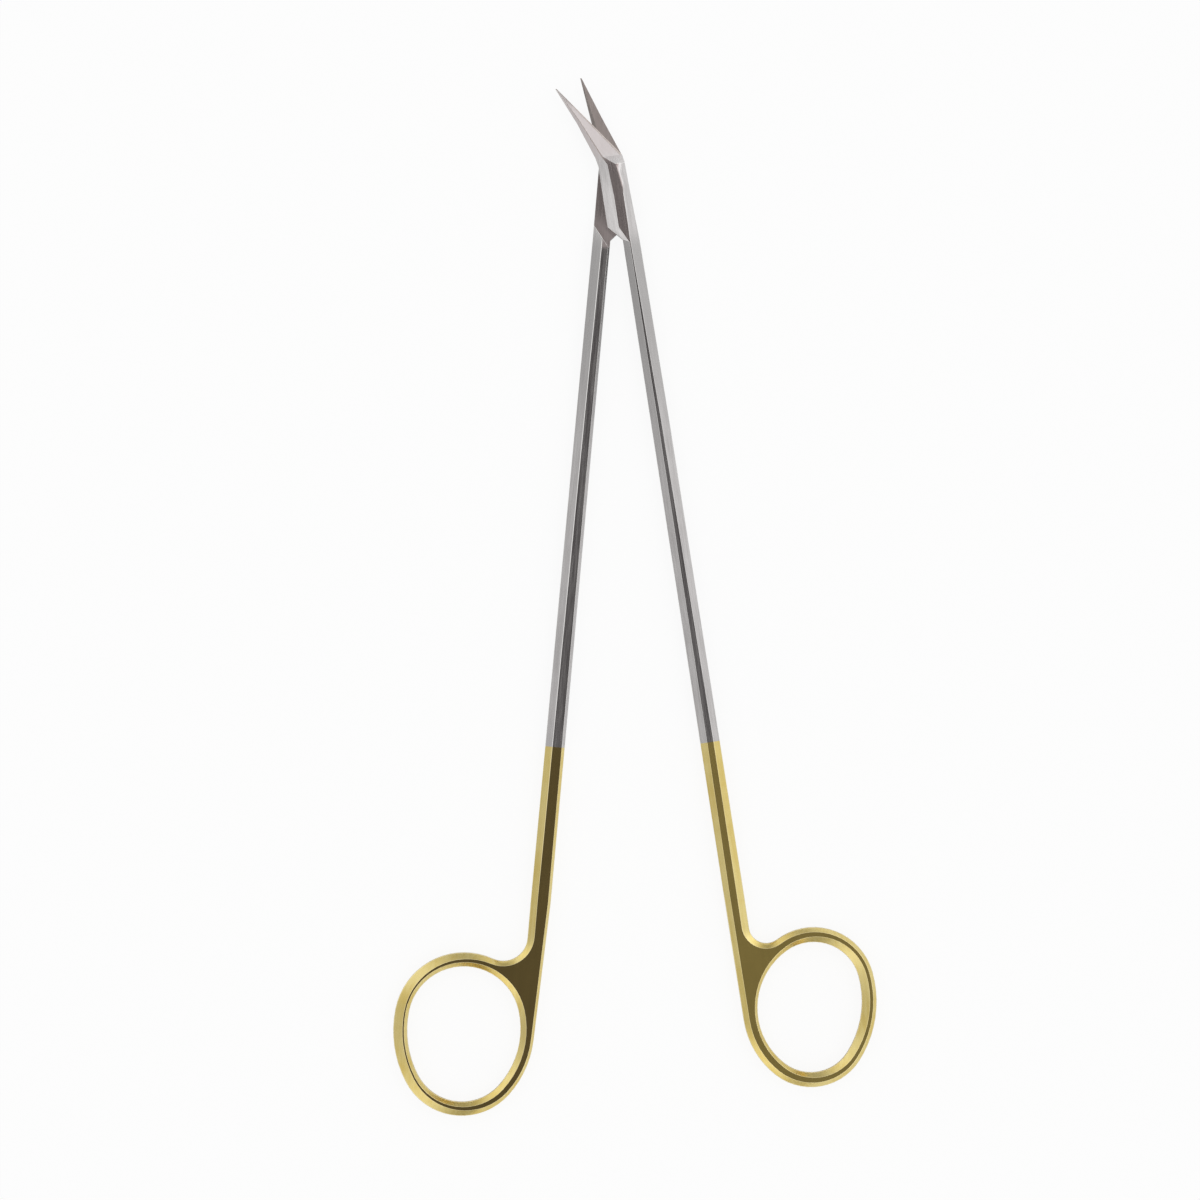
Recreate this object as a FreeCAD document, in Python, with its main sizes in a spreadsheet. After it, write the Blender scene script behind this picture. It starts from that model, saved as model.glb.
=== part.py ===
# Angled vascular scissors with carbide cutting edges and gilt finger rings.
#
# Two long slender forgings cross in a flat lap joint and turn on one screw. Both blades are bent to
# the same side of the shanks. Each limb is drawn closed, with the pivot at its origin, +Y towards the
# tips and its lap face on the mid-plane, and is then swung open by half the rest opening.
# Lengths are in millimetres and angles in degrees.

import FreeCAD, Part
import math
import os

import Sketcher

from FreeCAD import Vector

SIZES = {
    # Places across a limb are counted from the pivot towards that limb's own shank
    # The joint
    "joint_thickness": 3.8,
    "lap_gap": 0.03,
    "rest_opening": 13.4,
    # The screw: its head sits in the lower limb, its thread in a blind hole of the upper limb
    "pivot_radius": 1.1,
    "pivot_clearance": 0.03,
    "thread_radius": 0.95,
    "thread_clearance": 0.02,
    "thread_depth": 1.35,
    "thread_end_room": 0.1,
    "head_radius": 1.6,
    "head_height": 0.85,
    "head_clearance": 0.06,
    "head_seat_gap": 0.03,
    "slot_width": 0.42,
    "slot_depth": 0.45,
    # The lap: its flat ridge stands between two ground bevels
    "lap_inner": -2.4,
    "lap_side_height": 1.15,
    "flat_near": -0.38,
    "flat_far": 1.42,
    "flat_top_near": -0.72,
    "flat_top_far": 0.68,
    "flat_low_near": 1.1,
    "flat_low_far": 1.3,
    "flat_end_depth": 7.0,
    "heel_top_depth": 6.75,
    "heel_low_depth": 9.45,
    "recess_outer_depth": 6.9,
    "recess_inner_depth": 11.1,
    "lap_low_depth": 9.95,
    "lap_waist_depth": 1.0,
    "cut_overrun": 1.0,
    # The shank: stations below the pivot
    "shank_top_depth": 6.0,
    "shank_mid_depth": 43.0,
    "shank_low_depth": 103.0,
    "handle_depth": 132.0,
    "shank_top_inner": 0.05,
    "shank_mid_inner": 0.2,
    "shank_low_inner": 0.46,
    "handle_inner": 0.6,
    "shank_mid_width": 3.38,
    "shank_low_width": 3.58,
    "handle_width": 3.68,
    "shank_mid_half": 1.6,
    "shank_mid_side_height": 0.72,
    "shank_low_half": 1.6,
    "shank_low_side_height": 0.78,
    "handle_half": 1.75,
    "handle_side_height": 0.9,
    # The upper limb, whose shank is on the right
    "upper_lap_outer": 3.1,
    "upper_waist_outer": 2.68,
    "upper_shoulder_height": 4.6,
    "upper_shoulder_outer": 2.48,
    "upper_shoulder_inner": -2.4,
    "upper_shoulder_side_height": 0.9,
    "upper_root_height": 6.2,
    "upper_root_spine": -2.72,
    "upper_root_crest_near": -1.62,
    "upper_root_crest_far": -1.32,
    "upper_root_edge": 2.2,
    "upper_top_inner_bevel": 1.15,
    "upper_top_outer_bevel": 1.7,
    "upper_mid_inner_bevel": 1.28,
    "upper_mid_outer_bevel": 1.48,
    "upper_low_inner_bevel": 1.25,
    "upper_low_outer_bevel": 1.15,
    # The lower limb, whose shank is on the left
    "lower_lap_outer": 3.3,
    "lower_waist_outer": 3.3,
    "lower_shoulder_height": 3.87,
    "lower_shoulder_outer": 3.3,
    "lower_shoulder_inner": -1.6,
    "lower_shoulder_side_height": 0.9,
    "lower_root_height": 6.2,
    "lower_root_spine": -0.88,
    "lower_root_crest_near": 0.3,
    "lower_root_crest_far": 0.6,
    "lower_root_edge": 3.4,
    "lower_top_inner_bevel": 0.3,
    "lower_top_outer_bevel": 1.75,
    "lower_mid_inner_bevel": 0.5,
    "lower_mid_outer_bevel": 1.55,
    "lower_low_inner_bevel": 0.5,
    "lower_low_outer_bevel": 1.3,
    # The blades run to one common tip
    "tip_offset": 8.0,
    "tip_height": 19.85,
    "tip_width": 0.26,
    "tip_thickness": 0.5,
    "tip_side_height": 0.35,
    "tip_crest_width": 0.06,
    "upper_spine_hollow": 0.28,
    "lower_spine_hollow": 0.1,
    "root_side_height": 1.1,
    "root_crest_height": 1.6,
    "edge_land": 0.13,
    # The carbide strip along each cutting edge
    "strip_width": 1.05,
    "strip_tip_width": 0.1,
    "strip_depth": 0.28,
    # The finger rings: ovals of four arcs, on the shank's side (near), above (top), away from the
    # shank (far) and below (low); each arc's centre drops below the shank's end. The bevels stand
    # in from the handle's outline, and back from the finger hole, by an inset for each side
    "upper_web_radius": 3.2,
    "lower_web_radius": 4.5,
    "upper_near_across": 16.46,
    "upper_near_drop": 22.73,
    "upper_top_across": 14.43,
    "upper_top_drop": 18.8,
    "upper_far_across": 5.45,
    "upper_far_drop": 19.9,
    "upper_low_drop": 26.25,
    "upper_top_radius": 8.53,
    "upper_wire": 2.7,
    "upper_inner_inset": 1.05,
    "upper_outer_inset": 1.3,
    "upper_far_inset": 0.62,
    "upper_hole_near_inset": 0.45,
    "upper_hole_far_inset": 1.45,
    "lower_near_across": 19.76,
    "lower_near_drop": 24.66,
    "lower_top_across": 14.63,
    "lower_top_drop": 23.08,
    "lower_far_across": 7.1,
    "lower_far_drop": 23.97,
    "lower_low_drop": 28.65,
    "lower_top_radius": 10.29,
    "lower_wire": 2.55,
    "lower_inner_inset": 0.45,
    "lower_outer_inset": 1.25,
    "lower_far_inset": 1.7,
    "lower_hole_near_inset": 1.1,
    "lower_hole_far_inset": 0.55,
}

document = FreeCAD.newDocument("vascular_scissors")
sheet = document.addObject("Spreadsheet::Sheet", "Sizes")
for line, (alias, amount) in enumerate(SIZES.items(), start=1):
    sheet.set(f"A{line}", alias)
    sheet.set(f"B{line}", str(amount))
    sheet.setAlias(f"B{line}", alias)
document.recompute()


def size(alias):
    """The number in a cell of the sheet."""
    return float(sheet.get(alias))


def bound(words):
    """An expression on the sheet, with each word that names a size pointed at its cell."""
    parts = words.replace("(", "( ").replace(")", " )").split()
    return " ".join(f"Sizes.{part}" if part in SIZES else part for part in parts)


def origin_plane(body, role):
    return next(item for item in body.Origin.OriginFeatures if item.Role == role)


def new_sketch(body, name, role, lift):
    """A sketch on one of the body's own planes, lifted along the plane's normal."""
    sketch = body.newObject("Sketcher::SketchObject", name)
    sketch.AttachmentSupport = [(origin_plane(body, role), "")]
    sketch.MapMode = "FlatFace"
    sketch.setExpression(".AttachmentOffset.Base.z", bound(lift))
    return sketch


def pin(sketch, kind, element, point, words):
    """Place one point of the sketch by its distance from the sketch's origin."""
    start = sketch.getPoint(element, point)
    now = start.x if kind == "DistanceX" else start.y
    index = sketch.addConstraint(Sketcher.Constraint(kind, -1, 1, element, point, now))
    sketch.setExpression(f"Constraints[{index}]", bound(words))


def polygon(body, name, role, lift, corners):
    """A closed outline of straight lines; each corner is a pair of expressions."""
    sketch = new_sketch(body, name, role, lift)
    count = len(corners)
    turn = 2 * math.pi / count
    spots = [Vector(math.cos(turn * k), math.sin(turn * k), 0) for k in range(count)]
    for k in range(count):
        sketch.addGeometry(Part.LineSegment(spots[k], spots[(k + 1) % count]), False)
    for k in range(count):
        sketch.addConstraint(Sketcher.Constraint("Coincident", k, 2, (k + 1) % count, 1))
    for k, (across, up) in enumerate(corners):
        pin(sketch, "DistanceX", k, 1, across)
        pin(sketch, "DistanceY", k, 1, up)
    return sketch


def ring_arcs(limb):
    """Centres and radii of a ring opening's four arcs, as the sheet has them now."""
    near, top, far = (
        Vector(size(f"{limb}_{arc}_across"), -size("handle_depth") - size(f"{limb}_{arc}_drop"), 0)
        for arc in ("near", "top", "far")
    )
    top_radius = size(f"{limb}_top_radius")
    near_radius = top_radius + near.distanceToPoint(top)
    far_radius = top_radius + far.distanceToPoint(top)
    # the lowest arc touches its two neighbours: its place across is found by halving
    left, right = far.x, near.x
    for _ in range(60):
        low = Vector((left + right) / 2, -size("handle_depth") - size(f"{limb}_low_drop"), 0)
        low_radius = near_radius - near.distanceToPoint(low)
        if low_radius < far_radius - far.distanceToPoint(low):
            left = low.x
        else:
            right = low.x
    return {
        "near": (near, near_radius),
        "low": (low, low_radius),
        "far": (far, far_radius),
        "top": (top, top_radius),
    }


def heading(start, end):
    """The direction from one point to another, in radians."""
    return math.atan2(end.y - start.y, end.x - start.x)


def add_arc(sketch, side, centre, radius, start, end):
    """An arc that runs anticlockwise on the upper limb, and mirrored on the lower one."""
    while end < start:
        end += 2 * math.pi
    if side < 0:
        start, end = math.pi - end, math.pi - start
    circle = Part.Circle(Vector(side * centre.x, centre.y, 0), Vector(0, 0, 1), radius)
    return sketch.addGeometry(Part.ArcOfCircle(circle, start, end), False)


def bind_number(sketch, constraint, words):
    index = sketch.addConstraint(constraint)
    sketch.setExpression(f"Constraints[{index}]", bound(words))


def bind_ring(sketch, side, limb, arcs, shift, growth):
    """Tie a ring's arcs to the sheet; the lowest one finds its own place across."""
    for name in ("near", "far", "top"):
        pin(sketch, "DistanceX", arcs[name], 3, f"{side} * ( {limb}_{name}_across - {shift} )")
    for name in ("near", "low", "far", "top"):
        pin(sketch, "DistanceY", arcs[name], 3, f"-1 * ( handle_depth + {limb}_{name}_drop )")
    first, last = (1, 2) if side > 0 else (2, 1)
    for one, other in (("near", "low"), ("low", "far"), ("far", "top")):
        sketch.addConstraint(Sketcher.Constraint("Tangent", arcs[one], last, arcs[other], first))
    radius = sketch.Geometry[arcs["top"]].Radius
    bind_number(sketch, Sketcher.Constraint("Radius", arcs["top"], radius), f"{limb}_top_radius + {growth}")


def hole_outline(body, limb, side, name, lift, share):
    """The finger hole's outline, opened by a share of its insets."""
    sketch = new_sketch(body, name, "XY_Plane", lift)
    near_inset = share * size(f"{limb}_hole_near_inset")
    far_inset = share * size(f"{limb}_hole_far_inset")
    shift = Vector((far_inset - near_inset) / 2, 0, 0)
    growth = (near_inset + far_inset) / 2
    ring = {arc: (centre + shift, radius + growth) for arc, (centre, radius) in ring_arcs(limb).items()}
    joins = {pair: heading(ring[pair[0]][0], ring[pair[1]][0]) for pair in (
        ("near", "top"), ("near", "low"), ("far", "low"), ("far", "top"))}
    spans = {
        "near": (joins["near", "top"], joins["near", "low"]),
        "low": (joins["near", "low"], joins["far", "low"]),
        "far": (joins["far", "low"], joins["far", "top"]),
        "top": (joins["far", "top"], joins["near", "top"]),
    }
    arcs = {name: add_arc(sketch, side, *ring[name], *span) for name, span in spans.items()}
    near_words = f"( {share} * {limb}_hole_near_inset )"
    far_words = f"( {share} * {limb}_hole_far_inset )"
    bind_ring(sketch, side, limb, arcs, f"( ( {near_words} - {far_words} ) / 2 )",
              f"( ( {near_words} + {far_words} ) / 2 )")
    first, last = (1, 2) if side > 0 else (2, 1)
    sketch.addConstraint(Sketcher.Constraint("Tangent", arcs["top"], last, arcs["near"], first))
    return sketch


def handle_outline(body, limb, side, name, lift, share):
    """Shank end, web and outer ring in one tangent outline, drawn in by a share of the insets."""
    sketch = new_sketch(body, name, "XY_Plane", lift)
    inner_inset = share * size(f"{limb}_inner_inset")
    outer_inset = share * size(f"{limb}_outer_inset")
    far_inset = share * size(f"{limb}_far_inset")
    shift = Vector((far_inset - inner_inset) / 2, 0, 0)
    growth = size(f"{limb}_wire") - (inner_inset + far_inset) / 2
    ring = {arc: (centre - shift, radius + growth) for arc, (centre, radius) in ring_arcs(limb).items()}
    near, near_radius = ring["near"]
    top, top_radius = ring["top"]
    inner = Vector(size("handle_inner") + inner_inset, -size("handle_depth"), 0)
    outer = Vector(size("handle_inner") + size("handle_width") - outer_inset, inner.y, 0)
    touch = heading(near, inner) + math.acos(near_radius / near.distanceToPoint(inner))
    shank_touch = near + Vector(math.cos(touch), math.sin(touch), 0) * near_radius
    web = size(f"{limb}_web_radius") + outer_inset
    web_across = outer.x + web
    web_rise = math.sqrt((top_radius + web) ** 2 - (web_across - top.x) ** 2)
    web_centre = Vector(web_across, top.y + web_rise, 0)
    web_touch = heading(top, web_centre)
    web_shank = Vector(outer.x, web_centre.y, 0)

    near_low = heading(near, ring["low"][0])
    far_low = heading(ring["far"][0], ring["low"][0])
    far_top = heading(ring["far"][0], top)
    spans = {
        "near": (touch, near_low),
        "low": (near_low, far_low),
        "far": (far_low, far_top),
        "top": (far_top, web_touch),
    }
    arcs = {name: add_arc(sketch, side, *ring[name], *span) for name, span in spans.items()}
    crotch = add_arc(sketch, side, web_centre, web, math.pi, web_touch + math.pi)
    mirrored = [Vector(side * p.x, p.y, 0) for p in (inner, shank_touch, web_shank, outer)]
    inner_side = sketch.addGeometry(Part.LineSegment(mirrored[0], mirrored[1]), False)
    outer_side = sketch.addGeometry(Part.LineSegment(mirrored[2], mirrored[3]), False)
    across = sketch.addGeometry(Part.LineSegment(mirrored[3], mirrored[0]), False)

    sketch.addConstraint(Sketcher.Constraint("Coincident", outer_side, 2, across, 1))
    sketch.addConstraint(Sketcher.Constraint("Coincident", across, 2, inner_side, 1))
    inner_words = f"( {share} * {limb}_inner_inset )"
    outer_words = f"( {share} * {limb}_outer_inset )"
    pin(sketch, "DistanceX", inner_side, 1, f"{side} * ( handle_inner + {inner_words} )")
    pin(sketch, "DistanceY", inner_side, 1, "-1 * handle_depth")
    pin(sketch, "DistanceX", outer_side, 2, f"{side} * ( handle_inner + handle_width - {outer_words} )")
    pin(sketch, "DistanceY", outer_side, 2, "-1 * handle_depth")
    sketch.addConstraint(Sketcher.Constraint("Vertical", outer_side))
    far_words = f"( {share} * {limb}_far_inset )"
    shift_words = f"( ( {far_words} - {inner_words} ) / 2 )"
    growth_words = f"( {limb}_wire - ( {inner_words} + {far_words} ) / 2 )"
    bind_ring(sketch, side, limb, arcs, shift_words, growth_words)
    apart = (
        f"sqrt( ( {limb}_near_across - {limb}_top_across ) ^ 2"
        f" + ( {limb}_near_drop - {limb}_top_drop ) ^ 2 )"
    )
    bind_number(sketch, Sketcher.Constraint("Radius", arcs["near"], near_radius),
                f"{limb}_top_radius + {growth_words} + {apart}")
    bind_number(sketch, Sketcher.Constraint("Radius", crotch, web), f"{limb}_web_radius + {outer_words}")
    first, last = (1, 2) if side > 0 else (2, 1)
    sketch.addConstraint(Sketcher.Constraint("Tangent", inner_side, 2, arcs["near"], first))
    sketch.addConstraint(Sketcher.Constraint("Tangent", arcs["top"], last, crotch, last))
    sketch.addConstraint(Sketcher.Constraint("Tangent", crotch, first, outer_side, 1))
    return sketch


def pad(body, name, sketch, length, reverse=False, midplane=False):
    feature = body.newObject("PartDesign::Pad", name)
    feature.Profile = sketch
    feature.setExpression("Length", bound(length))
    feature.Reversed = reverse
    feature.Midplane = midplane
    return feature


def pocket(body, name, sketch, length, reverse=False, midplane=False):
    feature = body.newObject("PartDesign::Pocket", name)
    feature.Profile = sketch
    feature.setExpression("Length", bound(length))
    feature.Reversed = reverse
    feature.Midplane = midplane
    return feature


def loft(body, name, sections, kind="PartDesign::AdditiveLoft"):
    feature = body.newObject(kind, name)
    feature.Profile = sections[0]
    feature.Sections = sections[1:]
    feature.Ruled = True
    return feature


def add_handle(body, limb, side):
    """The finger ring and its web, with a bevel all along the outline and round the finger hole."""
    levels = [
        ("underside", "-1 * handle_half", 1),
        ("lower_rim", "-1 * handle_side_height", 0),
        ("upper_rim", "handle_side_height", 0),
        ("top", "handle_half", 1),
    ]
    outlines = [handle_outline(body, limb, side, f"handle_{name}", *rest) for name, *rest in levels]
    loft(body, "handle_blank", outlines)
    openings = [hole_outline(body, limb, side, f"hole_{name}", *rest) for name, *rest in levels]
    loft(body, "finger_hole", openings, "PartDesign::SubtractiveLoft")


def bar_section(body, name, side, depth, inner, width, half, side_half, inner_bevel, outer_bevel):
    """The shank's eight-sided section at one depth below the pivot."""
    outer = f"( {inner} + {width} )"
    across = [inner, inner, f"( {inner} + {inner_bevel} )", f"( {outer} - {outer_bevel} )", outer]
    across += [outer, f"( {outer} - {outer_bevel} )", f"( {inner} + {inner_bevel} )"]
    up = [f"-1 * {side_half}", side_half, half, half, side_half]
    up += [f"-1 * {side_half}", f"-1 * {half}", f"-1 * {half}"]
    corners = [(f"{side} * {x}", z) for x, z in zip(across, up)]
    return polygon(body, name, "XZ_Plane", depth, corners)


def add_shank(body, limb, side):
    """A slender bevelled bar, thicker towards the joint and the ring."""
    # above the heel the shank's outer side keeps to the lap's own outline
    lean = "( ( shank_top_depth - lap_waist_depth ) / ( lap_low_depth - lap_waist_depth ) )"
    neck = f"( {limb}_waist_outer + ( {limb}_lap_outer - {limb}_waist_outer ) * {lean} )"
    half_joint = "( joint_thickness / 2 )"
    stations = [
        ("bar_at_top", "shank_top_depth", "shank_top_inner", f"( {neck} - shank_top_inner )",
         half_joint, "lap_side_height", f"{limb}_top_inner_bevel", f"{limb}_top_outer_bevel"),
        ("bar_at_heel", "lap_low_depth", "shank_top_inner", f"( {limb}_lap_outer - shank_top_inner )",
         half_joint, "lap_side_height", f"{limb}_top_inner_bevel", f"{limb}_top_outer_bevel"),
        ("bar_mid", "shank_mid_depth", "shank_mid_inner", "shank_mid_width",
         "shank_mid_half", "shank_mid_side_height",
         f"{limb}_mid_inner_bevel", f"{limb}_mid_outer_bevel"),
        ("bar_low", "shank_low_depth", "shank_low_inner", "shank_low_width",
         "shank_low_half", "shank_low_side_height",
         f"{limb}_low_inner_bevel", f"{limb}_low_outer_bevel"),
        ("bar_at_handle", "handle_depth", "handle_inner", "handle_width", "handle_half",
         "handle_side_height", f"{limb}_inner_inset", f"{limb}_outer_inset"),
    ]
    sections = [bar_section(body, name, side, *rest) for name, *rest in stations]
    loft(body, "shank", sections)


def head_section(body, name, side, level, depth, across, up):
    """A section of lap or blade: flat inner face, spine side, two crest corners and edge side."""
    spine, near, far, edge = across
    spine_up, crest_up, edge_up = up
    face = "( lap_gap / 2 )"
    corners = [
        (spine, face),
        (spine, spine_up),
        (near, crest_up),
        (far, crest_up),
        (edge, edge_up),
        (edge, face),
    ]
    bound_corners = [(f"{side} * {x}", f"{level} * {z}") for x, z in corners]
    return polygon(body, name, "XZ_Plane", depth, bound_corners)


def add_head(body, limb, side, level):
    """Lap and blade in one run of sections from the heel to the tip."""
    half = "( joint_thickness / 2 )"
    flat = ("flat_near", "flat_far")
    top_flat = ("flat_top_near", "flat_top_far")
    crest = (f"{limb}_root_crest_near", f"{limb}_root_crest_far")
    lean = "( ( flat_end_depth - lap_waist_depth ) / ( lap_low_depth - lap_waist_depth ) )"
    flat_end_outer = f"( {limb}_waist_outer + ( {limb}_lap_outer - {limb}_waist_outer ) * {lean} )"
    tip = f"( {-side} * tip_offset )"
    root_across = (f"{limb}_root_spine", *crest, f"{limb}_root_edge")
    root_up = ("root_side_height", "root_crest_height", "edge_land")
    tip_across = (
        f"( {tip} - tip_width / 2 )",
        f"( {tip} - tip_crest_width / 2 )",
        f"( {tip} + tip_crest_width / 2 )",
        f"( {tip} + tip_width / 2 )",
    )
    tip_up = ("tip_side_height", "tip_thickness", "edge_land")
    # halfway along the blade, spine and crest stand in from the straight line by the hollow
    hollows = [f"{limb}_spine_hollow"] * 3 + ["0"]
    mid_across = [f"( ( {a} + {b} ) / 2 + {hollow} )" for a, b, hollow in zip(root_across, tip_across, hollows)]
    mid_up = [f"( ( {a} + {b} ) / 2 )" for a, b in zip(root_up, tip_up)]
    mid_depth = f"( ( -1 * {limb}_root_height - tip_height ) / 2 )"
    sections = [
        head_section(body, "head_at_heel", side, level, "lap_low_depth",
                     ("lap_inner", "flat_low_near", "flat_low_far", f"{limb}_lap_outer"),
                     ("lap_side_height", half, "lap_side_height")),
        head_section(body, "head_at_flat_end", side, level, "flat_end_depth",
                     ("lap_inner", *flat, flat_end_outer),
                     ("lap_side_height", half, "lap_side_height")),
        head_section(body, "head_at_waist", side, level, "lap_waist_depth",
                     ("lap_inner", *flat, f"{limb}_waist_outer"),
                     ("lap_side_height", half, "lap_side_height")),
        head_section(body, "head_at_shoulder", side, level, f"-1 * {limb}_shoulder_height",
                     (f"{limb}_shoulder_inner", *top_flat, f"{limb}_shoulder_outer"),
                     ("lap_side_height", half, f"{limb}_shoulder_side_height")),
        head_section(body, "blade_root", side, level, f"-1 * {limb}_root_height", root_across, root_up),
        head_section(body, "blade_mid", side, level, mid_depth, mid_across, mid_up),
        head_section(body, "blade_tip", side, level, "-1 * tip_height", tip_across, tip_up),
    ]
    return loft(body, "head", sections)


def strip_outline(body, limb, side, level):
    """The bed of the carbide strip along the cutting edge, seen on the inner face."""
    tip_edge = f"( {-side} * tip_offset + tip_width / 2 )"
    corners = [
        (f"( {limb}_root_edge - strip_width )", f"{limb}_root_height"),
        (f"( {limb}_root_edge + strip_width )", f"{limb}_root_height"),
        (f"( {tip_edge} + strip_width )", "( tip_height + strip_width )"),
        (f"( {tip_edge} - strip_tip_width )", "( tip_height + strip_width )"),
        (f"( {tip_edge} - strip_tip_width )", "tip_height"),
    ]
    corners = [(f"{side} * {x}", y) for x, y in corners]
    return polygon(body, "strip_outline", "XY_Plane", f"{level} * lap_gap / 2", corners)


def round_sketch(body, name, lift, radius):
    """A circle about the pivot axis."""
    sketch = new_sketch(body, name, "XY_Plane", lift)
    sketch.addGeometry(Part.Circle(Vector(0, 0, 0), Vector(0, 0, 1), 1.0), False)
    sketch.addConstraint(Sketcher.Constraint("Coincident", 0, 3, -1, 1))
    index = sketch.addConstraint(Sketcher.Constraint("Radius", 0, 1.0))
    sketch.setExpression(f"Constraints[{index}]", bound(radius))
    return sketch


def cut_recess(body, limb, side, level):
    """Clear the far half of the thickness, where the other limb's lap lies, down to a slanted shoulder."""
    inner = "shank_top_inner"
    outer = f"{limb}_lap_outer"
    corners = [
        (f"( {inner} - cut_overrun )", "( -1 * recess_inner_depth )"),
        (inner, "( -1 * recess_inner_depth )"),
        (outer, "( -1 * recess_outer_depth )"),
        (f"( {outer} + cut_overrun )", "( -1 * recess_outer_depth )"),
        (f"( {outer} + cut_overrun )", "0"),
        (f"( {inner} - cut_overrun )", "0"),
    ]
    corners = [(f"{side} * {x}", y) for x, y in corners]
    outline = polygon(body, "recess_outline", "XY_Plane", f"{level} * lap_gap / 2", corners)
    pocket(body, "lap_recess", outline, "joint_thickness", reverse=level < 0)


def cut_heel(body, side, level):
    """Slant the lap's free corner, which comes up to the other limb's shoulder."""
    corners = [
        ("lap_inner", "( -1 * heel_top_depth )"),
        ("shank_top_inner", "( -1 * heel_low_depth )"),
        ("flat_low_near", "( -1 * lap_low_depth )"),
        ("flat_low_near", "( -1 * lap_low_depth - cut_overrun )"),
        ("( lap_inner - cut_overrun )", "( -1 * lap_low_depth - cut_overrun )"),
        ("( lap_inner - cut_overrun )", "( -1 * heel_top_depth )"),
    ]
    corners = [(f"{side} * {x}", y) for x, y in corners]
    outline = polygon(body, "heel_outline", "XY_Plane", "0", corners)
    pocket(body, "heel_cut", outline, "joint_thickness", reverse=level > 0)


def place(item, turn):
    """Swing a piece about the pivot and stand the lowest face on the ground."""
    item.setExpression(
        "Placement",
        "placement(vector(0; 0; Sizes.joint_thickness / 2); "
        f"rotation(vector(0; 0; 1); {turn} * Sizes.rest_opening / 2))",
    )


def make_limb(limb, side, level):
    body = document.addObject("PartDesign::Body", f"{limb}_limb")
    body.Label = f"{limb}_limb"
    # the head and the handle stand apart until the shank joins them
    body.AllowCompound = True
    add_head(body, limb, side, level)
    cut_heel(body, side, level)
    add_handle(body, limb, side)
    add_shank(body, limb, side)
    cut_recess(body, limb, side, level)
    seat = strip_outline(body, limb, side, level)
    pocket(body, "strip_seat", seat, "strip_depth", reverse=level > 0)
    return body


def make_edge(limb, side, level):
    """The carbide strip: the part of the blade that lies in the strip's bed."""
    form = document.addObject("PartDesign::Body", f"{limb}_blade_form")
    add_head(form, limb, side, level)
    bed = document.addObject("PartDesign::Body", f"{limb}_strip_bed")
    pad(bed, "strip_bed", strip_outline(bed, limb, side, level), "strip_depth", reverse=level < 0)
    strip = document.addObject("Part::Common", f"{limb}_carbide_edge")
    strip.Label = f"{limb}_carbide_edge"
    strip.Base = form
    strip.Tool = bed
    return strip


def bore_lower(body):
    """A running bore through the lower limb, with a round pocket for the screw's head beneath."""
    bore = round_sketch(body, "bore_circle", "0", "pivot_radius + pivot_clearance")
    pocket(body, "pivot_bore", bore, "4 * joint_thickness", midplane=True)
    seat = round_sketch(body, "head_circle", "-1 * joint_thickness / 2", "head_radius + head_clearance")
    pocket(body, "head_pocket", seat, "head_height + head_seat_gap", reverse=True)


def bore_upper(body):
    """A blind threaded hole in the upper limb's lap face."""
    hole = round_sketch(body, "thread_circle", "lap_gap / 2", "thread_radius + thread_clearance")
    pocket(body, "thread_hole", hole, "thread_depth + thread_end_room", reverse=True)


def make_screw():
    body = document.addObject("PartDesign::Body", "pivot_screw")
    body.Label = "pivot_screw"
    floor = "( -1 * joint_thickness / 2 )"
    under_head = f"( {floor} + head_height )"
    face = "( lap_gap / 2 )"
    end = f"( {face} + thread_depth )"
    profile = polygon(body, "turned_profile", "XZ_Plane", "0", [
        ("0", floor),
        ("head_radius", floor),
        ("head_radius", under_head),
        ("pivot_radius", under_head),
        ("pivot_radius", face),
        ("thread_radius", face),
        ("thread_radius", end),
        ("0", end),
    ])
    turned = body.newObject("PartDesign::Revolution", "turned_screw")
    turned.Profile = profile
    turned.ReferenceAxis = (profile, ["V_Axis"])
    turned.Angle = 360
    slot = polygon(body, "slot_outline", "XY_Plane", floor, [
        ("( -1 * slot_width / 2 )", "( -1 * head_radius - cut_overrun )"),
        ("( slot_width / 2 )", "( -1 * head_radius - cut_overrun )"),
        ("( slot_width / 2 )", "( head_radius + cut_overrun )"),
        ("( -1 * slot_width / 2 )", "( head_radius + cut_overrun )"),
    ])
    pocket(body, "driver_slot", slot, "slot_depth", reverse=True)
    return body


upper_limb = make_limb("upper", 1, 1)
lower_limb = make_limb("lower", -1, -1)
bore_upper(upper_limb)
bore_lower(lower_limb)
upper_edge = make_edge("upper", 1, 1)
lower_edge = make_edge("lower", -1, -1)
screw = make_screw()
document.recompute()

for piece in (upper_limb, upper_edge, screw):
    place(piece, 1)
for piece in (lower_limb, lower_edge):
    place(piece, -1)
document.recompute()

faults = [item.Label for item in document.Objects if {"Invalid", "Error"} & set(item.State)]
if faults:
    raise RuntimeError("not built: " + ", ".join(faults))
pieces = (upper_limb, lower_limb, upper_edge, lower_edge, screw)
for piece in pieces:
    if piece.Shape.isNull() or not piece.Shape.isValid() or len(piece.Shape.Solids) != 1:
        raise RuntimeError(f"{piece.Label} is not one valid solid")

os.makedirs("parts", exist_ok=True)
for piece in pieces:
    box = piece.Shape.BoundBox
    print(piece.Label, round(piece.Shape.Volume, 3), [round(v, 2) for v in
          (box.XMin, box.YMin, box.ZMin, box.XMax, box.YMax, box.ZMax)])
    piece.Shape.exportStep(f"parts/{piece.Label}.step")
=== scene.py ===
# Angled vascular scissors: two slender steel limbs with gilt handles and hard-metal cutting edges,
# lying half open on a pale table and seen from straight above.

import math

import bmesh
import bpy
from mathutils import Matrix


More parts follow.
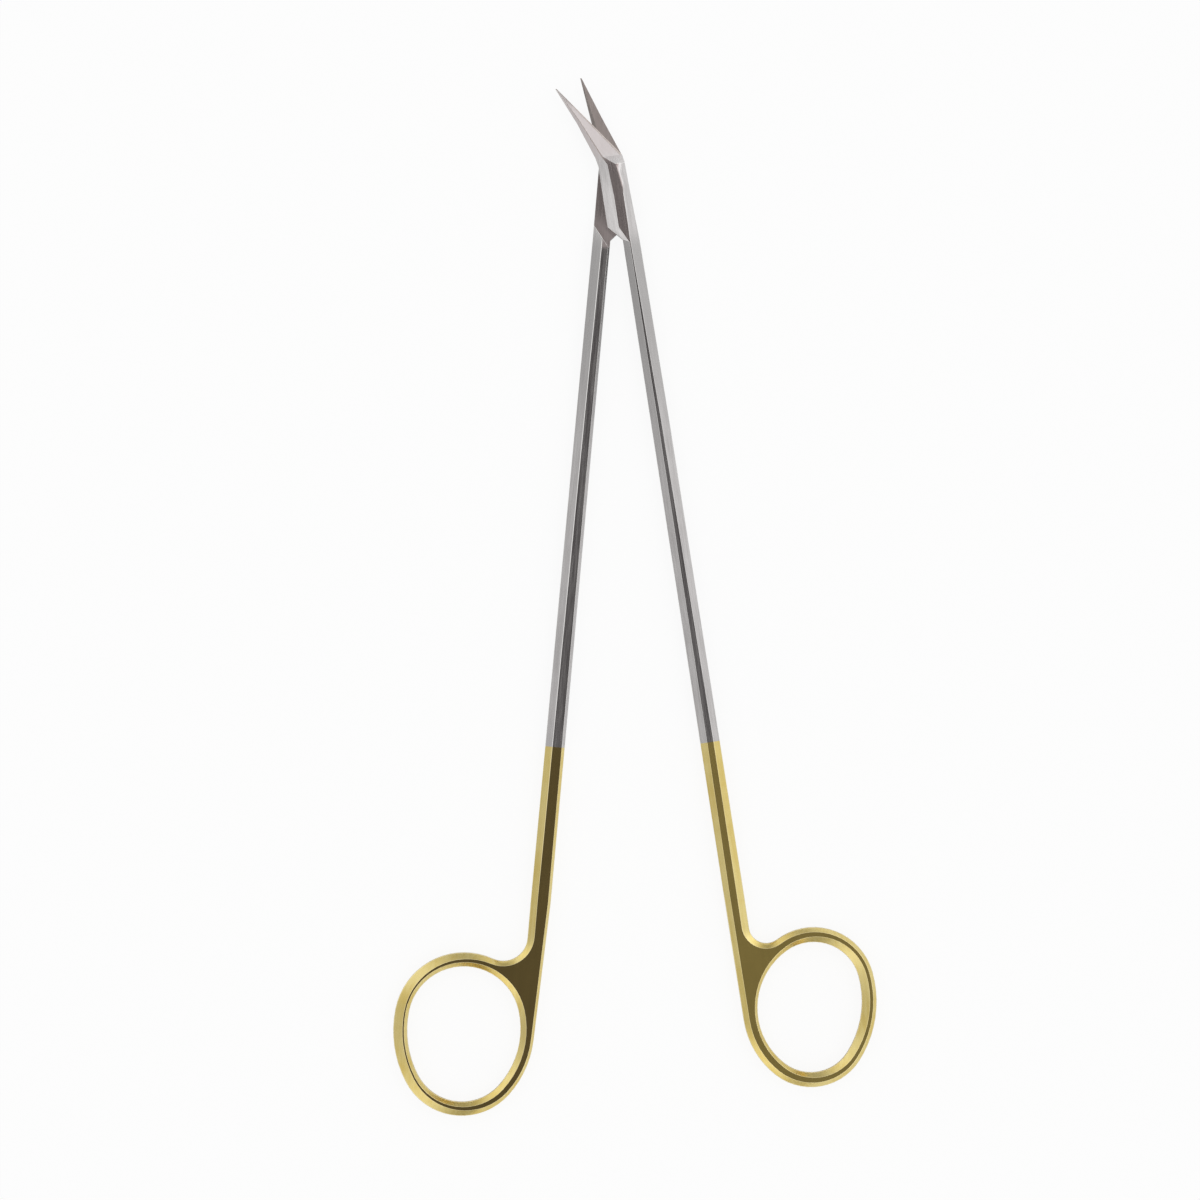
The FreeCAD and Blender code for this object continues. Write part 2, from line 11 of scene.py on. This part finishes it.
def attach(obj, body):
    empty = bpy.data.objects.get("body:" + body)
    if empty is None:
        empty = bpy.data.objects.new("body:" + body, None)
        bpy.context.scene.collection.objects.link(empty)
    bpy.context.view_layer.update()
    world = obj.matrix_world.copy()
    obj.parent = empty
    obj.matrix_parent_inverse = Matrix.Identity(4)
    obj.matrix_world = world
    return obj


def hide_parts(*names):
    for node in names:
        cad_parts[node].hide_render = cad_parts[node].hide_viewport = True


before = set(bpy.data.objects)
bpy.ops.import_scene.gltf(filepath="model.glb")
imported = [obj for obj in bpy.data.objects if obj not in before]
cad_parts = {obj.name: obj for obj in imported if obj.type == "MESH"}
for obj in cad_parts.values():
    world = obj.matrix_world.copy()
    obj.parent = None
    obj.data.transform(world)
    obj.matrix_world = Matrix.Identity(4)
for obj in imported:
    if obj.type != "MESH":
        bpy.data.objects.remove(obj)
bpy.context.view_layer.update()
bpy.context.scene.view_settings.view_transform = "Standard"


# The table: a wide matt white top. It shows almost white to the camera, as the photograph's ground
# does, and still takes the soft shadow that the instrument throws on it.
class Signal:
    """A socket of a node tree that sums can be written with."""

    def __init__(self, tree, socket):
        self.tree = tree
        self.socket = socket

    def maths(self, operation, *terms):
        """The result of an operation on numbers and signals."""
        return add_node(
            self.tree, "ShaderNodeMath", {"operation": operation}, dict(enumerate(terms)))

    def __add__(self, other):
        return self.maths("ADD", self, other)

    def __sub__(self, other):
        return self.maths("SUBTRACT", self, other)

    def __rsub__(self, other):
        return self.maths("SUBTRACT", other, self)

    def __mul__(self, other):
        return self.maths("MULTIPLY", self, other)

    def part(self, axis):
        """One part of a vector: X, Y or Z."""
        return add_node(self.tree, "ShaderNodeSeparateXYZ", {}, {"Vector": self}, axis)

    def rise(self, low, high):
        """From 0 where the value is low to 1 where it is high, with soft ends."""
        return add_node(self.tree, "ShaderNodeMapRange", {"interpolation_type": "SMOOTHSTEP"}, {
            "Value": self, "From Min": low, "From Max": high})

    def mixed(self, one, other):
        """One colour where the value is 0, the other where it is 1."""
        return mixed_colour(self.tree, self, one, other)


def named(sockets, name):
    """The socket with that number, or the one in use with that name."""
    if isinstance(name, int):
        return sockets[name]
    return next(socket for socket in sockets if socket.enabled and socket.name == name)


def add_node(tree, kind, settings, values, output=0):
    """A new node with its settings, then the values or links of its sockets; gives one output."""
    node = tree.nodes.new(kind)
    for name, setting in settings.items():
        if name == "stops":
            ramp = node.color_ramp
            while len(ramp.elements) < len(setting):
                ramp.elements.new(1.0)
            for element, (place, colour) in zip(ramp.elements, setting):
                element.position = place
                element.color = colour
        else:
            setattr(node, name, setting)
    for name, value in values.items():
        socket = named(node.inputs, name)
        if isinstance(value, Signal):
            tree.links.new(value.socket, socket)
        else:
            socket.default_value = value
    return Signal(tree, named(node.outputs, output))


def mixed_colour(tree, share, one, other):
    """One colour where the share is 0, the other where it is 1."""
    return add_node(tree, "ShaderNodeMix", {"data_type": "RGBA"}, {
        "Factor": share, "A": one, "B": other}, "Result")


def show(tree, kind, surface):
    """End the tree with the output node that shows a surface."""
    end = tree.nodes.new(kind)
    tree.links.new(surface.socket, end.inputs["Surface"])


def fresh_material(name):
    """An empty material and its node tree."""
    material = bpy.data.materials.new(name)
    material.use_nodes = True
    material.node_tree.nodes.clear()
    return material, material.node_tree


TABLE_DROP = 0.00003
TABLE_REACH = 1.5
TABLE_CORNERS = ((-1, -1), (1, -1), (1, 1), (-1, 1))
TABLE_WHITE = (0.9, 0.9, 0.9, 1.0)
TABLE_GLOW = 0.9
WHITE = (1.0, 1.0, 1.0, 1.0)

paint, tree = fresh_material("table_top")
matt = add_node(tree, "ShaderNodeBsdfDiffuse", {}, {"Color": TABLE_WHITE})
glow = add_node(tree, "ShaderNodeEmission", {}, {"Color": WHITE, "Strength": 1.0})
rays = add_node(tree, "ShaderNodeLightPath", {}, {}, "Is Camera Ray")
top = add_node(tree, "ShaderNodeMixShader", {}, {0: rays * TABLE_GLOW, 1: matt, 2: glow})
show(tree, "ShaderNodeOutputMaterial", top)

mesh = bpy.data.meshes.new("table")
corners = [(x * TABLE_REACH, y * TABLE_REACH, -TABLE_DROP) for x, y in TABLE_CORNERS]
mesh.from_pydata(corners, [], [(0, 1, 2, 3)])
table = bpy.data.objects.new("table", mesh)
table.data.materials.append(paint)
bpy.context.scene.collection.objects.link(table)


# The studio: white walls all round, brightest in the corners and on the right, with a ring of lamps
# round a dark ceiling, where the camera hangs. Level faces of the metal mirror the ceiling and look
# dark; slanted ones mirror the walls, and the rounded edge between them mirrors the lamps.
HORIZON = 0.85
WALL = 0.98
LAMP_RING = 1.9
CEILING = 0.2
EVEN_SHARE = 0.74
RIGHT_GAIN = 0.13
CORNER_GAIN = 0.7
END_LOSS = 0.25

# how bright the room is by the height of a direction, from 0 at the horizon to 1 straight up
BRIGHTNESS = (
    (0.0, HORIZON), (0.5, WALL), (0.7, WALL), (0.8, LAMP_RING), (0.9, LAMP_RING), (0.955, CEILING))

world = bpy.data.worlds.new("studio")
world.use_nodes = True
bpy.context.scene.world = world
tree = world.node_tree
tree.nodes.clear()
where = add_node(tree, "ShaderNodeTexCoord", {}, {}, "Generated")
stops = [(height, (value, value, value, 1.0)) for height, value in BRIGHTNESS]
room = add_node(tree, "ShaderNodeValToRGB", {"stops": stops}, {"Fac": where.part("Z")}, "Color")
side = where.part("X")
front = where.part("Y")
corner = side * front * 2
balance = (
    side * RIGHT_GAIN - front * front * END_LOSS + corner * corner * CORNER_GAIN + EVEN_SHARE)
rays = add_node(tree, "ShaderNodeLightPath", {}, {}, "Is Camera Ray")
seen = rays.mixed(room, WHITE)
strength = rays.maths("MAXIMUM", rays, balance)
air = add_node(tree, "ShaderNodeBackground", {}, {"Color": seen, "Strength": strength})
show(tree, "ShaderNodeOutputWorld", air)


# The camera hangs straight above, far enough away to see the instrument almost without perspective,
# and is turned a little about its own axis, as the photograph is.
VIEW_CENTRE = (-0.00514, -0.07544)
VIEW_WIDTH = 0.22116
CAMERA_HEIGHT = 1.4
CAMERA_ROLL = -1.805
SENSOR = 36.0
CLIP = (0.05, 20.0)

eye = bpy.data.cameras.new("camera")
eye.sensor_width = SENSOR
eye.lens = SENSOR * CAMERA_HEIGHT / VIEW_WIDTH
eye.clip_start, eye.clip_end = CLIP
camera = bpy.data.objects.new("camera", eye)
camera.location = (*VIEW_CENTRE, CAMERA_HEIGHT)
camera.rotation_euler = (0.0, 0.0, math.radians(CAMERA_ROLL))
bpy.context.scene.collection.objects.link(camera)
bpy.context.scene.camera = camera


# The two limbs: stainless forgings, ground to long bevels and finished satin along their length,
# with the handles gilt up to a sharp line across each shank. Every edge is broken by hand, more on
# the shanks and rings than on the lap, and least of all along the blades.
HALF_OPENING = 6.7
TURNS = {"upper": HALF_OPENING, "lower": -HALF_OPENING}
JOINT_MIDDLE = 0.0019

# how wide an edge is rounded, in metres, on each part of a limb
WIDE_CREST = 0.00025
FINE_CREST = 0.00006
SHANK_RIM = 0.0001
RING_CREST = 0.00008
RING_RIM = 0.0003
LAP_EDGE = 0.00008
BLADE_EDGE = 0.00003
FACE_EDGE = 0.000015
LEFT_SHARP = 0.000002

# where those parts lie on the closed limb
BORE_REACH = 0.0026
LAP_REACH = (-0.0123, 0.0052)
LAP_FACE_REACH = 0.0001
LEFT_CREST = -0.001
RING_TOP = -0.1335
RING_APPROACH = 0.012
RING_MIDDLE = (0.014, -0.1545)

# how the facets are joined, with lengths in metres and angles in degrees
MERGE_REACH = 0.0000005
PLANE_ANGLE = 0.05
APPROACH_CUTS = 8
CUT_SNAP = 0.0002
SEAM_REACH = 0.0015
LEVEL_FACE = 0.98

# which edges are rounded, and how far
EDGE_ANGLE = 13.0
EDGE_STEPS = 4
STRAIGHT_ON = -0.8
ROOM_SHARE = 0.45
FACE_WEIGHT = 100

STEEL = (0.68, 0.66, 0.655, 1.0)
STEEL_DARK = (0.52, 0.5, 0.495, 1.0)
# level faces take darker copies of the steel: painted shade
STEEL_LEVEL_SHADE = (0.52, 0.49, 0.485, 1.0)
STEEL_LEVEL_SHADE_DARK = (0.3, 0.275, 0.275, 1.0)
GILT = (0.88, 0.73, 0.31, 1.0)
GILT_DEEP = (0.78, 0.6, 0.19, 1.0)
# level gilt faces: a painted highlight on the upper limb, painted shade on the lower
GILT_LEVEL_LIGHT_AND_SHADE = {"upper": (1.0, 0.75, 0.23, 1.0), "lower": (0.5, 0.36, 0.13, 1.0)}
BLADE_PALE = (0.6, 0.54, 0.535, 1.0)
BLADE_LEVEL = (0.67, 0.58, 0.54, 1.0)
# the lap's level faces: a lighter painted shade
LAP_LEVEL_SHADE = (0.6, 0.51, 0.495, 1.0)
# painted shade on the shank's slanted faces near the joint
SHANK_TOP_SHADE = (0.44, 0.43, 0.425, 1.0)
# the rounded edges: lighter copies of the metals, a painted highlight
EDGE_HIGHLIGHT_STEEL = (0.9, 0.88, 0.86, 1.0)
EDGE_HIGHLIGHT_GILT = (0.97, 0.85, 0.5, 1.0)

# between which places along the limb one finish, or the painted shade on the shank's slanted faces,
# passes into the next
BLADE_START = (0.0045, 0.0075)
LAP_START = (-0.0115, -0.0105)
BARE_LAP = (-0.003, -0.0085)
SHANK_SHADE_START = (-0.06, -0.02)
SHANK_SHADE_END = (-0.012, -0.006)
GILT_LINE = -0.10317
GILT_BLUR = 0.00008

# how far a face points up or down where its tone passes into that of a level one, which is painted
# shade, and on the upper limb's gilt a painted highlight
LEVEL_TILT = (0.955, 0.99)
GILT_LEVEL_TILT = (0.88, 0.97)

# scale, detail and roughness of the noises, and how long the grain is drawn
GRAIN = (6000.0, 3.0, 0.65)
COARSE_GRAIN = (1700.0, 2.0, 0.5)
CLOUDS = (150.0, 3.0, 0.55)
GRAIN_DRAW = (1.0, 0.03, 1.0)
GRAIN_RELIEF = {"Strength": 0.3, "Distance": 0.00002}

# how much of the noise the tones take up, how strong each tone is, and how rough each metal
STEEL_SPREAD = (0.32, 0.66)
LEVEL_SPREAD = (0.38, 0.6)
GILT_SPREAD = (0.35, 0.65)
JOINT_SHARE = 0.8
BLADE_SHARE = 0.7
EDGE_HIGHLIGHT_SHARE = 0.6
BURNISH_POLISH = 0.5
SATIN = 0.25
BLADE_SATIN = 0.09
BARE_SATIN = 0.1
SATIN_SWING = 0.16
POLISH = 0.17
POLISH_SWING = 0.08
POLISH_FINE_SWING = 0.06
GILT_SMOOTHING = 0.8


def noise(tree, place, scale, detail, roughness):
    """Cloudy values round 0.5."""
    return add_node(tree, "ShaderNodeTexNoise", {}, {
        "Vector": place, "Scale": scale, "Detail": detail, "Roughness": roughness}, "Fac")


def turned(tree, place, degrees):
    """Coordinates turned about the pivot's axis."""
    return add_node(tree, "ShaderNodeMapping", {}, {
        "Vector": place, "Rotation": (0.0, 0.0, math.radians(degrees))})


def drawn(tree, place, scale):
    """Coordinates in which a noise is drawn out along each axis with a small scale."""
    return add_node(tree, "ShaderNodeMapping", {}, {"Vector": place, "Scale": scale})


def show_metal(tree, colour, rough, height, relief):
    """End the tree with a bare metal; relief gives the strength and depth of its marks."""
    marks = add_node(tree, "ShaderNodeBump", {}, {**relief, "Height": height})
    metal = add_node(tree, "ShaderNodeBsdfPrincipled", {}, {
        "Base Color": colour, "Metallic": 1.0, "Roughness": rough, "Normal": marks})
    show(tree, "ShaderNodeOutputMaterial", metal)


def forged_finish(name, limb, turn, burnish_and_highlight=0.0):
    """Satin steel with a gilt handle; turn is how far the limb is swung open, in degrees. Level
    faces and the shank's slanted faces just below the joint carry painted shade, and the upper
    limb's gilt flats a painted highlight; the last argument burnishes the rounded edges and paints
    a highlight into their colour.
    """
    material, tree = fresh_material(name)
    place = add_node(tree, "ShaderNodeTexCoord", {}, {}, "Object")
    tilt = add_node(tree, "ShaderNodeNewGeometry", {}, {}, "Normal").part("Z")
    upright = tilt.maths("ABSOLUTE", tilt)
    level = upright.rise(*LEVEL_TILT)
    along = turned(tree, place, -turn)
    run = along.part("Y")
    blade = run.rise(*BLADE_START)
    lap = run.rise(*LAP_START)
    bare_lap = run.rise(*BARE_LAP) * lap * level * float(limb == "lower")
    # painted shade on the shank's slanted faces just below the joint
    shank_top_shade = run.rise(*SHANK_SHADE_START) * (1 - run.rise(*SHANK_SHADE_END)) * (1 - level)
    gilt = run.rise(GILT_LINE + GILT_BLUR, GILT_LINE - GILT_BLUR)

    streaks = drawn(tree, along, GRAIN_DRAW)
    grain = noise(tree, streaks, *GRAIN)
    coarse = noise(tree, streaks, *COARSE_GRAIN)
    clouds = noise(tree, along, *CLOUDS)

    worn = grain * 0.5 + coarse * 0.25 + clouds * 0.25
    steel = worn.rise(*STEEL_SPREAD).mixed(STEEL_DARK, STEEL)
    worn_level = coarse * 0.7 + grain * 0.3
    # level faces are painted in shade, the lap's a little lighter
    steel = level.mixed(
        steel, worn_level.rise(*LEVEL_SPREAD).mixed(STEEL_LEVEL_SHADE_DARK, STEEL_LEVEL_SHADE))
    steel = (lap * level * JOINT_SHARE).mixed(steel, LAP_LEVEL_SHADE)
    steel = (shank_top_shade * JOINT_SHARE).mixed(steel, SHANK_TOP_SHADE)
    steel = (blade * (1 - level) * BLADE_SHARE).mixed(steel, BLADE_PALE)
    steel = (blade * level * BLADE_SHARE).mixed(steel, BLADE_LEVEL)
    gold = (clouds * 0.6 + coarse * 0.4).rise(*GILT_SPREAD).mixed(GILT_DEEP, GILT)
    # level gilt: painted highlight on the upper limb, painted shade on the lower
    gold = upright.rise(*GILT_LEVEL_TILT).mixed(gold, GILT_LEVEL_LIGHT_AND_SHADE[limb])
    colour = gilt.mixed(steel, gold)
    # the rounded edges are burnished smoother and carry a painted highlight in their colour
    edge_highlight = gilt.mixed(EDGE_HIGHLIGHT_STEEL, EDGE_HIGHLIGHT_GILT)
    colour = mixed_colour(tree, burnish_and_highlight * EDGE_HIGHLIGHT_SHARE, colour, edge_highlight)

    satin = (grain - 0.5) * SATIN_SWING + SATIN + blade * BLADE_SATIN + bare_lap * BARE_SATIN
    polish = (clouds - 0.5) * POLISH_SWING + (coarse - 0.5) * POLISH_FINE_SWING + POLISH
    rough = (satin * (1 - gilt) + polish * gilt) * (1 - BURNISH_POLISH * burnish_and_highlight)
    height = (grain * 0.6 + coarse * 0.4) * (1 - gilt * GILT_SMOOTHING)
    show_metal(tree, colour, rough, height, GRAIN_RELIEF)
    return material


def middle_of(edge):
    """The point half way along an edge."""
    return (edge.verts[0].co + edge.verts[1].co) / 2


def is_level(face):
    """Whether a face is level, as the flats on the shanks and rings are."""
    return abs(face.normal.z) > LEVEL_FACE


def edge_rounding(limb, spot, crest):
    """How wide an edge is rounded, by where its middle lies on the closed limb."""
    if spot.xy.length < BORE_REACH:
        return 0.0
    if abs(spot.z - JOINT_MIDDLE) < LAP_FACE_REACH:
        return FACE_EDGE
    if spot.y > LAP_REACH[1]:
        return BLADE_EDGE
    if spot.y > LAP_REACH[0]:
        return LAP_EDGE
    shank = SHANK_RIM
    if crest:
        shank = WIDE_CREST if limb == "lower" and spot.x < LEFT_CREST else FINE_CREST
    ring = RING_CREST if crest else RING_RIM
    return ring + (shank - ring) * min(1.0, max(0.0, (spot.y - RING_TOP) / RING_APPROACH))


def room_beside(edge):
    """How wide an edge can be rounded before the rounding meets the edges next to it."""
    room = min(face.calc_area() / edge.calc_length() for face in edge.link_faces)
    for corner in edge.verts:
        ahead = (edge.other_vert(corner).co - corner.co).normalized()
        for other in corner.link_edges:
            aside = (other.other_vert(corner).co - corner.co).normalized()
            if other is not edge and ahead.dot(aside) > STRAIGHT_ON:
                room = min(room, other.calc_length())
    return room * ROOM_SHARE


def mark_seams(mesh, side):
    """Mark the edges that are kept when facets are joined; side is 1 or -1, where the ring lies."""
    # cuts across the shank, so that its roundings can widen step by step towards the ring
    for step in range(APPROACH_CUTS + 1):
        place = (0.0, RING_TOP + RING_APPROACH * step / APPROACH_CUTS, 0.0)
        parts = mesh.verts[:] + mesh.edges[:] + mesh.faces[:]
        cut = bmesh.ops.bisect_plane(
            mesh, geom=parts, dist=CUT_SNAP, plane_co=place, plane_no=(0.0, 1.0, 0.0))
        for part in cut["geom_cut"]:
            if isinstance(part, bmesh.types.BMEdge):
                part.seam = True
    # a few edges across each ring's flats, so that no facet runs all round its finger hole
    for edge in mesh.edges:
        middle = middle_of(edge)
        beside = min(abs(middle.x * side - RING_MIDDLE[0]), abs(middle.y - RING_MIDDLE[1]))
        if middle.y < RING_TOP and beside < SEAM_REACH and all(map(is_level, edge.link_faces)):
            edge.seam = True


def weigh_edges(mesh, limb):
    """Write each edge's rounding as its bevel weight, in shares of the widest rounding."""
    weight = mesh.edges.layers.float.new("bevel_weight_edge")
    for edge in mesh.edges:
        edge.seam = False
        if len(edge.link_faces) == 2 and edge.calc_face_angle() > math.radians(EDGE_ANGLE):
            crest = any(map(is_level, edge.link_faces))
            width = min(edge_rounding(limb, middle_of(edge), crest), room_beside(edge))
            edge[weight] = width / RING_RIM
            edge.smooth = width > LEFT_SHARP


def softened(node, limb, turn):
    """A copy of a limb's mesh with its facets joined and its edges rounded by real faces."""
    closing = Matrix.Rotation(math.radians(-turn), 4, "Z")
    mesh = bmesh.new()
    mesh.from_mesh(node.data)
    mesh.transform(closing)
    bmesh.ops.remove_doubles(mesh, verts=mesh.verts, dist=MERGE_REACH)
    mark_seams(mesh, 1 if limb == "upper" else -1)
    bmesh.ops.dissolve_limit(
        mesh,
        angle_limit=math.radians(PLANE_ANGLE),
        verts=mesh.verts,
        edges=mesh.edges,
        delimit={"SEAM"},
    )
    weigh_edges(mesh, limb)
    for face in mesh.faces:
        face.smooth = True
        face.material_index = 0
    mesh.transform(closing.inverted())
    facets = bpy.data.meshes.new(f"{limb}_facets")
    mesh.to_mesh(facets)
    mesh.free()
    facets.materials.append(forged_finish(f"{limb}_forging", limb, turn))
    # the rounded edges: burnished, with a painted highlight
    facets.materials.append(forged_finish(f"{limb}_burnished_highlit_edges", limb, turn, burnish_and_highlight=1.0))

    piece = bpy.data.objects.new(f"{limb}_forging", facets)
    bpy.context.scene.collection.objects.link(piece)
    rounding = piece.modifiers.new("broken_edges", "BEVEL")
    rounding.width = RING_RIM
    rounding.segments = EDGE_STEPS
    rounding.limit_method = "WEIGHT"
    rounding.offset_type = "WIDTH"
    rounding.use_clamp_overlap = False
    rounding.material = 1
    normals = piece.modifiers.new("even_faces", "WEIGHTED_NORMAL")
    normals.weight = FACE_WEIGHT
    normals.keep_sharp = True
    bpy.context.view_layer.update()
    graph = bpy.context.evaluated_depsgraph_get()
    rounded = bpy.data.meshes.new_from_object(
        piece.evaluated_get(graph), preserve_all_data_layers=True, depsgraph=graph)
    # no rounding rises above the joint's top or sinks below its underside
    for corner in rounded.vertices:
        corner.co.z = min(max(corner.co.z, 0.0), 2 * JOINT_MIDDLE)
    piece.modifiers.clear()
    piece.data = rounded
    bpy.data.meshes.remove(facets)
    return piece


for limb, turn in TURNS.items():
    forging = softened(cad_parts[f"{limb}_limb"], limb, turn)
    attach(forging, limb)
    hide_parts(f"{limb}_limb")


# The cutting edges: strips of hard metal let into the inner face of each blade and ground with it
# to one bevel. The metal is finer and a little warmer in tone than the steel round it, and its
# grinding marks run across the blade.
BLADE_TURN = 28.4
HARD_METAL = (0.6, 0.54, 0.51, 1.0)
HARD_METAL_DARK = (0.46, 0.405, 0.38, 1.0)
HARD_SPREAD = (0.35, 0.65)
HARD_ROUGHNESS = 0.32
HARD_SWING = 0.1
GRINDING = (9000.0, 3.0, 0.6)
GRINDING_DRAW = (0.05, 1.0, 0.05)
GRINDING_RELIEF = {"Strength": 0.25, "Distance": 0.00001}
WEAR = (500.0, 2.0, 0.5)


def ground_finish(name, turn):
    """Hard metal with fine marks across the blade; turn is how far its limb is swung open."""
    material, tree = fresh_material(name)
    place = add_node(tree, "ShaderNodeTexCoord", {}, {}, "Object")
    across = turned(tree, place, -turn - BLADE_TURN)
    marks = noise(tree, drawn(tree, across, GRINDING_DRAW), *GRINDING)
    wear = noise(tree, across, *WEAR)
    colour = (marks * 0.6 + wear * 0.4).rise(*HARD_SPREAD).mixed(HARD_METAL_DARK, HARD_METAL)
    rough = (wear - 0.5) * HARD_SWING + HARD_ROUGHNESS
    show_metal(tree, colour, rough, marks, GRINDING_RELIEF)
    return material


for limb, turn in TURNS.items():
    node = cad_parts[f"{limb}_carbide_edge"]
    node.data.materials.clear()
    node.data.materials.append(ground_finish(f"{limb}_edge", turn))


# The screw: turned from the same steel. Its slotted head lies flush in the lower limb's underside
# and keeps the fine rings of the facing cut.
TURNED_STEEL = (0.7, 0.685, 0.68, 1.0)
TURNED_STEEL_DARK = (0.5, 0.485, 0.48, 1.0)
# painted shade for the slot, dark from the slot's floor upward
SLOT_SHADE = (0.26, 0.25, 0.25, 1.0)
SLOT_DEPTH = (0.0001, 0.0004)
TURNED_SPREAD = (0.3, 0.7)
TURNED_ROUGHNESS = 0.26
TURNED_SWING = 0.12
TURNED_RINGS = {"Scale": 2200.0, "Distortion": 0.6, "Detail": 2.0, "Detail Scale": 0.4}
TURNED_RELIEF = {"Strength": 0.3, "Distance": 0.00001}
HANDLING = (900.0, 3.0, 0.5)

paint, tree = fresh_material("turned_screw")
place = add_node(tree, "ShaderNodeTexCoord", {}, {}, "Object")
rings = add_node(tree, "ShaderNodeTexWave", {"wave_type": "RINGS", "rings_direction": "Z"}, {
    "Vector": place, **TURNED_RINGS}, "Fac")
handling = noise(tree, place, *HANDLING)
slot = place.part("Z").rise(*SLOT_DEPTH)
worn = rings * 0.2 + handling * 0.8
colour = worn.rise(*TURNED_SPREAD).mixed(TURNED_STEEL_DARK, TURNED_STEEL)
# painted shade from the slot's floor upward
colour = slot.mixed(colour, SLOT_SHADE)
rough = (handling - 0.5) * TURNED_SWING + TURNED_ROUGHNESS
show_metal(tree, colour, rough, rings * (1 - slot), TURNED_RELIEF)
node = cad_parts["pivot_screw"]
node.data.materials.clear()
node.data.materials.append(paint)
